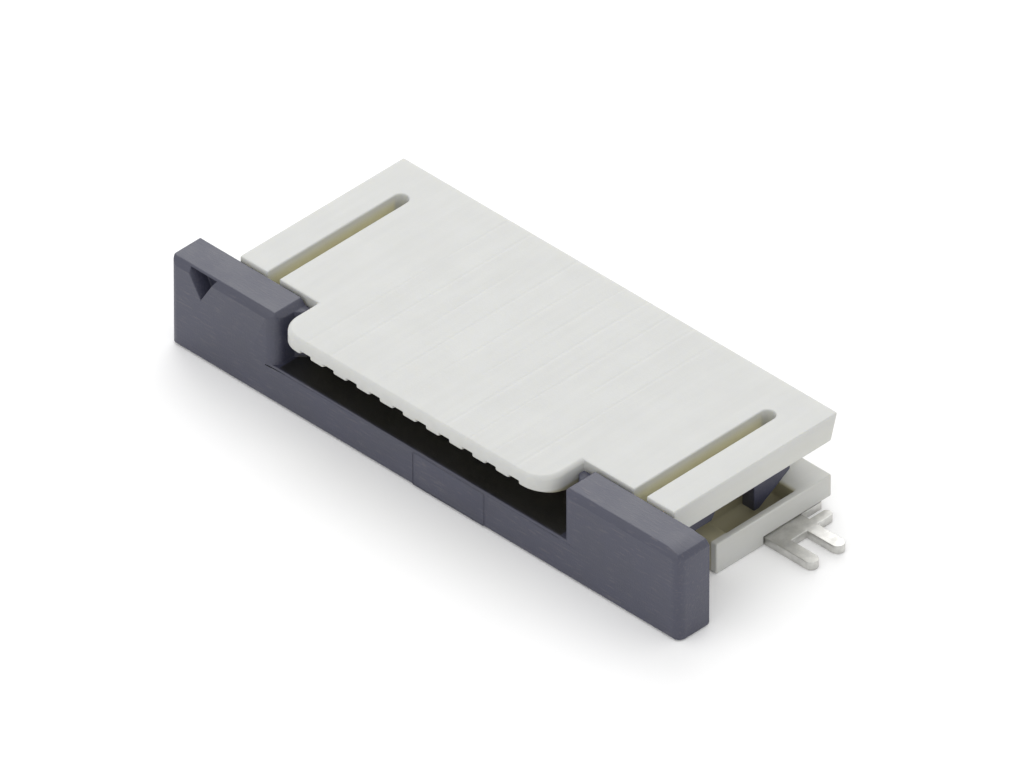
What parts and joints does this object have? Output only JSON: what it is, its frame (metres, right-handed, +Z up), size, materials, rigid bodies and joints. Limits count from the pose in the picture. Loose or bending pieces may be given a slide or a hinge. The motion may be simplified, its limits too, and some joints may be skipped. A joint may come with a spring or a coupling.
{
  "type": "fpc connector",
  "caption": "Right-angle surface-mount connector for a flat flexible cable, with a pull-out slider that clamps the cable, fork terminals and solder nails.",
  "frame": {"origin": "middle of the housing on the circuit board's surface", "axes": "+X along the row of circuits, circuit 1 at -X; +Y to the rear, where the solder tails leave, so the cable enters along +Y; +Z up from the board"},
  "size_m": [0.0114, 0.0051, 0.0017],
  "materials": {
    "ivory_nylon": "satin",
    "dark_plastic": "satin",
    "tinned_bronze": "satin",
    "tinned_brass": "satin"
  },
  "bodies": {
    "housing_body": {"housing": "ivory_nylon", "fitting_nail_left": "tinned_brass", "fitting_nail_right": "tinned_brass", "contact_01": "tinned_bronze", "contact_02": "tinned_bronze", "contact_03": "tinned_bronze", "contact_04": "tinned_bronze", "contact_05": "tinned_bronze", "contact_06": "tinned_bronze", "contact_07": "tinned_bronze", "contact_08": "tinned_bronze", "contact_09": "tinned_bronze", "contact_10": "tinned_bronze"},
    "slider_body": {"slider": "dark_plastic"}
  },
  "joints": [
    {"name": "slider_slide", "type": "slide", "parent": "housing_body", "child": "slider_body", "axis": [0, -1, 0], "range_m": [0, 0.0008]}
  ]
}
